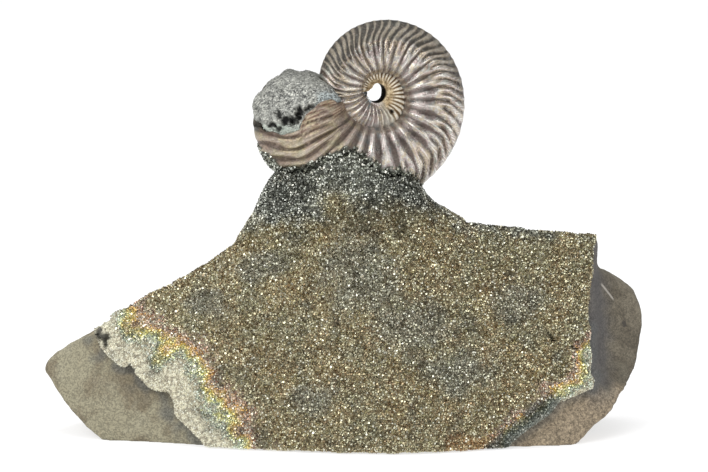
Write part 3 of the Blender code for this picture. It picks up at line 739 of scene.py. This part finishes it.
def shellRing(angle, offset=0, ribbed=True, progress=0, isPocket=False):
    share, side = shellSection()
    low, high = innerRadius(angle), outerRadius(angle)
    low = low - shell["chip"] * np.exp(-((angle - shell["chipAt"]) / shell["chipRun"]) ** 2)
    height = high - low
    lean = ribSwing(angle, share)
    here = angle + lean
    here = here + (brokenAngle(share, side, isPocket) - here) * progress
    grown = outerRadius(here) / high
    half = shell["fatness"] * height * np.abs(side) * grown
    radius = (low + height * share) * grown
    relief = ribRelief(here - lean, share)
    rise = shell["ribHeight"] * height * np.minimum(1, 0.45 + 2.2 * share)
    rise = rise * (1 - 0.8 * smoothStep((share - 0.6) / 0.35)) * (1 + 0.6 * smoothStep((-16 - angle) / 6))
    rise = rise * (1 + 0.22 * np.sin(here * 0.37 + 1))
    lift = rise * (relief if ribbed else 1) + offset
    tilt = 0.5 * np.pi * smoothStep((share - 0.4) / 0.6)
    atSeam = 1 - smoothStep(share / 0.05)
    half = half + lift * np.cos(tilt) * (1 - atSeam) + 0.7 * offset * atSeam
    # the oldest turn stays thick right up to the hole
    thick = smoothStep((-20 - angle) / 15) * (1 - smoothStep(share / 0.3))
    half = half + np.maximum(shell["holeHalf"] - half, 0) * thick
    half = half * (1 - 0.16 * smoothStep((-120 - angle) / 30) * smoothStep((share - 0.35) / 0.3))
    radius = radius + lift * np.sin(tilt) - 0.7 * offset * atSeam
    middle = angle + (shell["broken"] - angle) * progress
    buried = 0.8 * smoothStep((angle + 40) / 20)
    back = max(low - buried - offset, 0.6 * low)
    back = back - shell["wallBulge"] * math.exp(-((angle - shell["bulgeAt"]) / shell["bulgeRun"]) ** 2)
    steps = np.linspace(0, 1, shell["backPoints"] + 2)[1:]
    width = half[-1] + (-half[0] - half[-1]) * steps
    bend = 1 - (2 * steps - 1) ** 2
    inward = radius[-1] + (radius[0] - radius[-1]) * steps
    turned = np.concatenate([here, here[-1] + (here[0] - here[-1]) * steps])
    turned[len(here):] += (middle - turned[len(here):]) * bend
    radii = np.concatenate([radius, inward + (back - inward) * bend])
    sides = np.concatenate([np.sign(side) * half, width])
    turn = np.radians(shell["zero"] - turned)
    x, y, z = radii * np.cos(turn), sides, radii * np.sin(turn)
    c, s = math.cos(math.radians(shell["yaw"])), math.sin(math.radians(shell["yaw"]))
    centre = shell["centre"]
    points = np.stack([centre[0] + c * x - s * y, centre[1] + s * x + c * y, centre[2] + z], axis=1)
    farRim = smoothStep((here - brokenAngle(share, side, False) + 3.5) / 3) * (side > -0.3) * 0.8
    none = np.zeros(len(steps))
    skin = np.stack([relief, share, here, np.zeros(len(share)), farRim], axis=1)
    hidden = np.stack([none, none, none + angle, bend * (angle < -20), none], axis=1)
    return (points + partShift) * mm, np.vstack([skin, hidden])


def shrunkRing(ring, share, push=(0, 0, 0)):
    points, facts = ring
    middle = points.mean(axis=0)
    return middle + (points - middle) * share + np.array(push), facts


def makeShell():
    step = 360 / shell["ribs"] / shell["ringsPerRib"]
    count = round((shell["last"] - shell["first"]) / step)
    angles = shell["first"] + (shell["last"] - shell["first"]) * np.arange(count + 1) / count
    first, second = shellRing(angles[0]), shellRing(angles[1])
    back = first[0].mean(axis=0) - second[0].mean(axis=0)
    back = back / np.linalg.norm(back) * shell["capDepth"] * mm
    rings = [shrunkRing(first, s, back * math.sqrt(1 - s * s)) for s in (0, 0.3, 0.55, 0.75, 0.9, 0.98)]
    rings += [shellRing(angle) for angle in angles]
    rings += [shellRing(shell["last"], progress=i / shell["endRings"]) for i in range(1, shell["endRings"] + 1)]
    rings.append(shellRing(shell["last"], -0.35 * shell["wall"], True, 1.003))
    rings.append(shellRing(shell["last"], -shell["wall"], False, 1))
    floor = shellRing(shell["last"], -shell["wall"], False, 1 - shell["pocket"], True)
    rings += [floor] + [shrunkRing(floor, s) for s in (0.75, 0.5, 0.25, 0)]
    around = len(rings[0][0])
    bm = bmesh.new()
    bmesh.ops.create_grid(bm, x_segments=len(rings) - 1, y_segments=around, size=0.5)
    layers = [bm.verts.layers.float.new(key) for key in ("rib", "share", "turn", "hollow", "farRim")]
    for vert in bm.verts:
        i = round((vert.co.x + 0.5) * (len(rings) - 1))
        j = round((vert.co.y + 0.5) * around) % around
        points, facts = rings[i]
        vert.co = points[j]
        for layer, value in zip(layers, facts[j]):
            vert[layer] = value
    bmesh.ops.remove_doubles(bm, verts=bm.verts, dist=1e-6)
    bmesh.ops.recalc_face_normals(bm, faces=bm.faces)
    bm.normal_update()
    x0, z0, wide, deep = shell["pinhole"]
    for vert in bm.verts:
        at = designPlace(vert)
        away = math.hypot(at[0] - x0, at[2] - z0)
        if away < 2 * wide and at[1] < 1 and vert.normal.y < 0:
            vert.co -= vert.normal * deep * math.exp(-(away / wide) ** 4) * mm
    obj = toObject("ammoniteShell", bm)
    at = designPlaces(obj.data)
    x, y, z = at.T
    wander = np.array([bumps(p, 1.6, 9.4) + 0.5 * bumps(p, 0.7, 2.9) for p in at])
    rise = readLine(shell["rim"], x) + 1.1 * wander - z
    storeValues(obj.data, pinhole=np.exp(-(np.hypot(x - x0, z - z0) / wide) ** 4) * (y < 1),
                crusted=smoothStep(rise / 0.4 + 0.5), room=(rise > 0) * (rise < 5.5))
    return obj


pearl = {
    "rose": (0.43, 0.34, 0.32), "silver": (0.51, 0.5, 0.47), "gold": (0.54, 0.46, 0.33),
    "green": (0.37, 0.41, 0.345), "blue": (0.37, 0.43, 0.47), "groove": (0.078, 0.056, 0.044),
    # crest is the colour of the painted highlight on the ribs
    "wornAndShaded": (0.262, 0.226, 0.168), "tan": (0.7, 0.56, 0.35), "crest": (0.94, 0.9, 0.84),
}


def makePearlMaterial():
    material, tree, shader = newMaterial("pearly pyrite", Specular_IOR_Level=0.6)
    here = place(tree)
    rib, share, turn = stored(tree, "rib"), stored(tree, "share"), stored(tree, "turn")
    broad = cloud(here, 5.5, 5, 0.68, 0.9)
    hue = maths("MULTIPLY_ADD", rib, 0.1, maths("MULTIPLY_ADD", share, 0.16, broad))
    colour = ramp(maths("SUBTRACT", hue, 0.1), [
        (0.28, pearl["blue"]), (0.36, pearl["silver"]), (0.45, pearl["rose"]), (0.52, pearl["silver"]),
        (0.58, pearl["gold"]), (0.65, pearl["rose"]), (0.72, pearl["green"]), (0.8, pearl["silver"])])
    patch = remap(cloud(here, 1.6, 5, 0.72, 0.5), 0.52, 0.72)
    # painted highlight: bright streaks along the crests, broken up along their length
    around = addNode(tree, "ShaderNodeCombineXYZ", {0: times(turn, 1.1), 1: times(share, 2.2)}).outputs[0]
    lines = addNode(tree, "ShaderNodeTexNoise", {"Vector": around, "Scale": 1, "Detail": 3}).outputs["Fac"]
    crestHighlight = times(remap(rib, 0.6, 0.94), remap(lines, 0.41, 0.63))
    # grooves: narrow on the inner flank, patchy on the outer
    outward = remap(share, 0.45, 0.7)
    groove = mixValue(outward, remap(rib, 0.4, 0.04), remap(rib, 0.58, 0.12))
    torn = remap(cloud(here, 1.3, 4, 0.7), 0.34, 0.56)
    oldTurn = remap(turn, -15, -35)
    depth = mixValue(outward, remap(share, 0.05, 0.35, 0.5, 0.85), times(torn, 0.92))
    depth = times(depth, mixValue(oldTurn, 1, 0.62))
    # the outer edge over the top: partly real wear, partly painted shade where the keel turns away
    wornAndShaded = times(remap(share, 0.63, 0.7), remap(turn, 165, 110), remap(turn, -4, 14),
                 remap(cloud(here, 2, 5, 0.7), 0.25, 0.5, 0.6, 1))
    crumbled = maths("MULTIPLY_ADD", cloud(here, 1.2, 4, 0.7), 1.3, maths("SUBTRACT", rib, 0.65))
    wornAndShadedTone = mixColour(remap(crumbled, 0.3, 0.86), (0.04, 0.038, 0.03), pearl["wornAndShaded"])
    wornAndShadedTone = mixColour(remap(cloud(here, 1.1, 4, 0.7), 0.57, 0.75, 0, 0.5), wornAndShadedTone, (0.34, 0.35, 0.29))
    colour = coats(colour, (patch, 0.55, (0.27, 0.225, 0.19)), (crestHighlight, 0.82, pearl["crest"]),
                   (groove, depth, pearl["groove"]), (wornAndShaded, 0.85, wornAndShadedTone))
    # the older turn is brighter, with a plain greyer outside
    colour = shadeBy(colour, mixValue(oldTurn, remap(turn, 28, 4, 1, 1.22), 1.3))
    # darker towards the keel: painted shade where the whorl turns away
    colour = shadeBy(colour, remap(share, 0.78, 1, 1, 0.86))
    calm = times(oldTurn, remap(share, 0.45, 0.8))
    # golden ring round the hole: smooth and tan inside; outside, painted highlight on the small teeth, with dark gaps
    # between
    inner = remap(turn, -105, -150)
    toothHighlight = times(remap(share, 0.12, 0.42), remap(rib, 0.18, 0.55))
    gaps = times(remap(share, 0.1, 0.4), remap(rib, 0.3, 0))
    tan = mixColour(remap(cloud(here, 0.8, 4, 0.65), 0.38, 0.62), (0.25, 0.165, 0.072), pearl["tan"])
    tan = coats(tan, (toothHighlight, 0.92, (1, 0.95, 0.82)), (gaps, 0.92, (0.15, 0.085, 0.034)),
                (remap(turn, -150, -125), 0.6, (0.56, 0.56, 0.48)))
    # warm, brassy, duller stretch next to the break
    near = times(remap(turn, 262, 300), 0.75)
    brass = ramp(cloud(here, 4, 4, 0.6, 0.6), [
        (0.3, (0.285, 0.195, 0.152)), (0.48, (0.345, 0.265, 0.205)), (0.6, (0.43, 0.365, 0.215)),
        (0.72, (0.325, 0.32, 0.22))])
    # a faint painted highlight on the rib crests
    brass = coats(brass, (remap(rib, 0.7, 1, 0, 0.3), 1, (0.44, 0.37, 0.28)), (groove, 0.75, pearl["groove"]))
    # light and dark bands across the torn lip: painted highlight and shade standing in for its fine ribs
    lip = times(remap(turn, 312, 322), remap(share, 0.72, 0.5),
                remap(cloud(here, 2.4, 3, 0.6), 0.38, 0.62, 0.1, 0.8))
    fine = maths("SINE", maths("MULTIPLY_ADD", turn, 1.9, times(share, 14)))
    lipRibShading = mixColour(remap(fine, -0.7, 0.5), (0.29, 0.17, 0.125), (0.66, 0.54, 0.39))
    colour = coats(colour, (calm, 0.5, (0.27, 0.255, 0.25)), (inner, 1, tan), (near, 1, brass), (lip, 1, lipRibShading))
    grain = useGroup(mineralGrain, Vector=here, Grain=0.35)
    colour = shadeBy(colour, remap(grain["Speckle"], 0.3, 0.75, 0.84, 1.14))
    # painted shade: near-black on the wall inside the hole and in the pinhole
    hollow, pinhole = remap(stored(tree, "hollow"), 0.05, 0.45), stored(tree, "pinhole")
    colour = coats(colour, ("farRim", 1, (0.075, 0.078, 0.07)), ("crusted", 1, (0.07, 0.075, 0.062)),
                   (hollow, 1, (0.02, 0.016, 0.012)), (pinhole, 1, (0.012, 0.01, 0.009)))
    inside = maths("MAXIMUM", hollow, pinhole)
    metal = mixValue(inside, mixValue(inner, mixValue(wornAndShaded, 0.88, 0.35), 0.18), 1)
    gloss = remap(cloud(here, 3.5, 4, 0.6), 0.3, 0.7, 0.2, 0.38)
    gloss = mixValue(near, mixValue(wornAndShaded, gloss, 0.6), 0.52)
    setLooks(shader, Base_Color=colour, Metallic=metal, Roughness=mixValue(inside, gloss, 0.95))
    # fine growth lines that run with the ribs
    bumpUp(shader, maths("MULTIPLY_ADD", lines, 0.9, grain["Height"]), 0.1, 0.6)
    return material


shellPiece = dress(makeShell(), makePearlMaterial(), "pearly_pyrite", "ammonite_shell")
rimCrystals = scatter("rimCrystals", shellPiece, cubeSeed, readValues(shellPiece.data, "room"), crystals["rim"], 79,
                      makeDruseMaterial("rim crystals", 1, 0.2, False))
full = np.ones(len(rimCrystals.data.vertices))
storeValues(rimCrystals.data, dark=full, film=full)


filling = {
    "voxel": 0.24, "softening": 3, "swell": 0.12,
    "lump": 0.45, "lumpSize": 2.2, "grain": 0.22, "grainSize": 0.6,
    # dents, darkened inside with painted shade as black pits: x, z, radius, depth in mm
    "pits": [(-15.1, 83.4, 0.7, 0.5), (-15.7, 77.9, 0.8, 1.1), (-10.5, 78.9, 1, 1.6), (-12.3, 76.6, 1.1, 1.8),
             (-17.1, 75.4, 0.9, 1.2), (-14, 76.6, 1.1, 1.6), (-8.3, 79.9, 0.7, 1), (-20.6, 78.6, 0.4, 0.7),
             (-11, 77.6, 0.9, 1.7), (-15.6, 74.8, 0.8, 1), (-9.4, 79.2, 0.6, 1)],
    # lumps along the top: x, z, radius, height
    "knobs": [(-13.4, 86, 2.5, 1.35), (-7, 85.2, 2.9, 1.6), (-10, 85, 1.6, 0.4), (-16.9, 84, 1.8, 0.4)],
    "spread": 0.95, "spreadFrom": 328,         # how far it reaches over the missing wall, past this angle
    # its right end lies over the coil: x, z, radius, push right, push forward
    "toe": (-5, 81.3, 3.6, 2.6, -1.5),
}


def fillingPlace(vert):
    at = designPlace(vert)
    lift = filling["swell"] + filling["lump"] * bumps(at, filling["lumpSize"], 5.2)
    lift += filling["grain"] * (0.45 - noise.voronoi(Vector(at) / filling["grainSize"])[0][0])
    if vert.normal.y < 0.35:
        for x, z, wide, deep in filling["pits"]:
            away = math.hypot(at[0] - x, at[2] - z) + 0.7 * bumps(at, 0.7, 8.8)
            lift -= deep * math.exp(-(away / wide) ** 4)
    for x, z, wide, high in filling["knobs"]:
        lift += high * math.exp(-(math.hypot(at[0] - x, (at[2] - z) * 0.8) / wide) ** 2) * max(vert.normal.z, 0)
    out = Vector((at[0] - shell["centre"][0], 0, at[2] - shell["centre"][2]))
    angle = (shell["zero"] - math.degrees(math.atan2(out.z, out.x))) % 360
    bare = float(smoothStep((angle - filling["spreadFrom"]) / 3)
                 * smoothStep((out.length - outerRadius(angle) + 3.5) / 2))
    lift += filling["spread"] * bare * max(0, vert.normal.dot(out.normalized()))
    x, z, wide, right, forward = filling["toe"]
    there = vert.co + vert.normal * lift * mm
    near = math.exp(-(math.hypot(at[0] - x, at[2] - z) / wide) ** 3) * float(smoothStep((4 - at[1]) / 4))
    near *= float(smoothStep((at[2] - 79.3) / 2.2))
    return there + Vector((right, forward, 0)) * near * mm


def makeFilling():
    obj = fineCopy("chamberPlug", "chamber_fill", filling["voxel"], filling["softening"])
    reshape(obj, fillingPlace)
    at = designPlaces(obj.data)
    x, z = at[:, 0], at[:, 2]
    pit = np.zeros(len(at))
    warp = np.array([0.9 * bumps(p, 0.7, 8.8) for p in at])
    for midX, midZ, wide, deep in filling["pits"]:
        away = np.hypot(x - midX, z - midZ) + warp
        pit = np.maximum(pit, (1 - smoothStep((away / wide - 0.6) / 0.75)) * min(1, deep / 1.2))
    storeValues(obj.data, pit=pit, paleRim=smoothStep((76 - z + 1.2 * warp) / 1.2) * (1 - pit),
                blueEnd=smoothStep((x + 7.5 + 1.5 * warp) / 2.5) * smoothStep((84.4 - z + warp) / 2),
                shaded=smoothStep((z - 83.5 + 0.25 * x + 2.5 + 1.5 * warp) / 4))
    return obj


def makeFillingMaterial():
    material, tree, shader = newMaterial("grey filling", Specular_IOR_Level=0.5)
    here = place(tree)
    grain = useGroup(mineralGrain, Vector=here, Grain=0.38)
    colour = ramp(grain["Speckle"], [(0.26, (0.07, 0.071, 0.067)), (0.4, (0.205, 0.208, 0.193)),
                                     (0.56, (0.325, 0.33, 0.302)), (0.72, (0.57, 0.57, 0.515))])
    colour = shadeBy(colour, remap(cloud(here, 0.9, 5, 0.8), 0.4, 0.62, 0.58, 1.45))
    broad = remap(cloud(here, 4, 4, 0.6), 0.35, 0.65)
    specks = remap(cloud(here, 0.55, 3, 0.8), 0.38, 0.28, 0, 0.8)
    colour = coats(colour, (broad, 0.35, (0.42, 0.425, 0.38)), (specks, 1, (0.045, 0.046, 0.044)),
                   ("paleRim", 0.7, (0.54, 0.6, 0.53)))
    colour = shadeBy(colour, mixValue(stored(tree, "shaded"), 1.04, 0.7))
    blue = shadeBy((0.2, 0.235, 0.243), remap(grain["Speckle"], 0.3, 0.7, 0.35, 2.1))
    # painted shade: near-black in the pits
    colour = coats(colour, ("blueEnd", 0.7, blue), ("pit", 1, (0.022, 0.022, 0.02)))
    setLooks(shader, Base_Color=colour, Metallic=remap(grain["Speckle"], 0.4, 0.7, 0.1, 0.45),
             Roughness=remap(grain["Speckle"], 0.3, 0.8, 0.72, 0.36))
    bumpUp(shader, grain["Height"], 0.14, 1)
    return material


fillingPiece = dress(makeFilling(), makeFillingMaterial(), "grey_filling", "chamber_fill")
x, y, z = designPlaces(fillingPiece.data).T
sparse = (y < 4) * np.clip(0.35 + 0.65 * (x > -8.5) + 0.5 * (z < 75.6), 0, 1)
scatter("fillingGrains", fillingPiece, eightSidedSeed, sparse, crystals["filling"], 97,
        fillingPiece.data.materials[0], "grey_filling")
for seedObject in (cubeSeed, eightSidedSeed):
    bpy.data.objects.remove(seedObject)


studio = {
    "floor": 3, "lens": 135, "sensor": 36,
    "camera": (0.00156, -0.630011, 0.14769), "tilt": 81,
    "soft": 0.82,                                # even light of the white tent
    "mirrored": 0.3,                            # what glossy faces see between the lamps
    # name, where, aimed at, size, strength
    "lamps": [("keyLamp", (-0.7, -0.65, 0.85), (0, 0, 0.05), 0.8, 6.5),
              ("fillLamp", (0.75, -0.7, 0.3), (0, 0, 0.05), 0.45, 1.2),
              ("topLamp", (0.05, 0.1, 0.95), (0, 0, 0.05), 0.55, 2.4)],
}


def makeStudio():
    bm = bmesh.new()
    bmesh.ops.create_grid(bm, x_segments=1, y_segments=1, size=studio["floor"] / 2)
    floor = toObject("floor", bm)
    # mostly its own light, so that shadows stay faint
    material, tree, shader = newMaterial("white floor", Roughness=0.9, Specular_IOR_Level=0, Emission_Strength=0.63)
    setLooks(shader, Base_Color=(0.43, 0.43, 0.433), Emission_Color=(1, 1, 1))
    floor.data.materials.append(material)
    for name, where, aim, size, strength in studio["lamps"]:
        lamp = bpy.data.lights.new(name, "AREA")
        lamp.size, lamp.energy = size, strength
        holder = putIn(name, lamp)
        holder.location = where
        holder.rotation_euler = (Vector(aim) - Vector(where)).to_track_quat("-Z", "Y").to_euler()
    world = bpy.data.worlds.new("white studio")
    world.use_nodes = True
    tree = world.node_tree
    rays = addNode(tree, "ShaderNodeLightPath").outputs
    strength = mixValue(rays["Is Glossy Ray"], studio["soft"], studio["mirrored"])
    strength = mixValue(rays["Is Camera Ray"], strength, 1.05)
    feed(tree.nodes["Background"].inputs[0], (1, 1, 1))
    feed(tree.nodes["Background"].inputs[1], strength)
    bpy.context.scene.world = world
    camera = bpy.data.cameras.new("camera")
    camera.lens = studio["lens"]
    camera.sensor_width = studio["sensor"]
    holder = putIn("camera", camera)
    holder.location = studio["camera"]
    holder.rotation_euler = (math.radians(studio["tilt"]), 0, 0)
    bpy.context.scene.camera = holder
    bpy.context.scene.view_settings.view_transform = "Standard"


makeStudio()
print("studio ready")
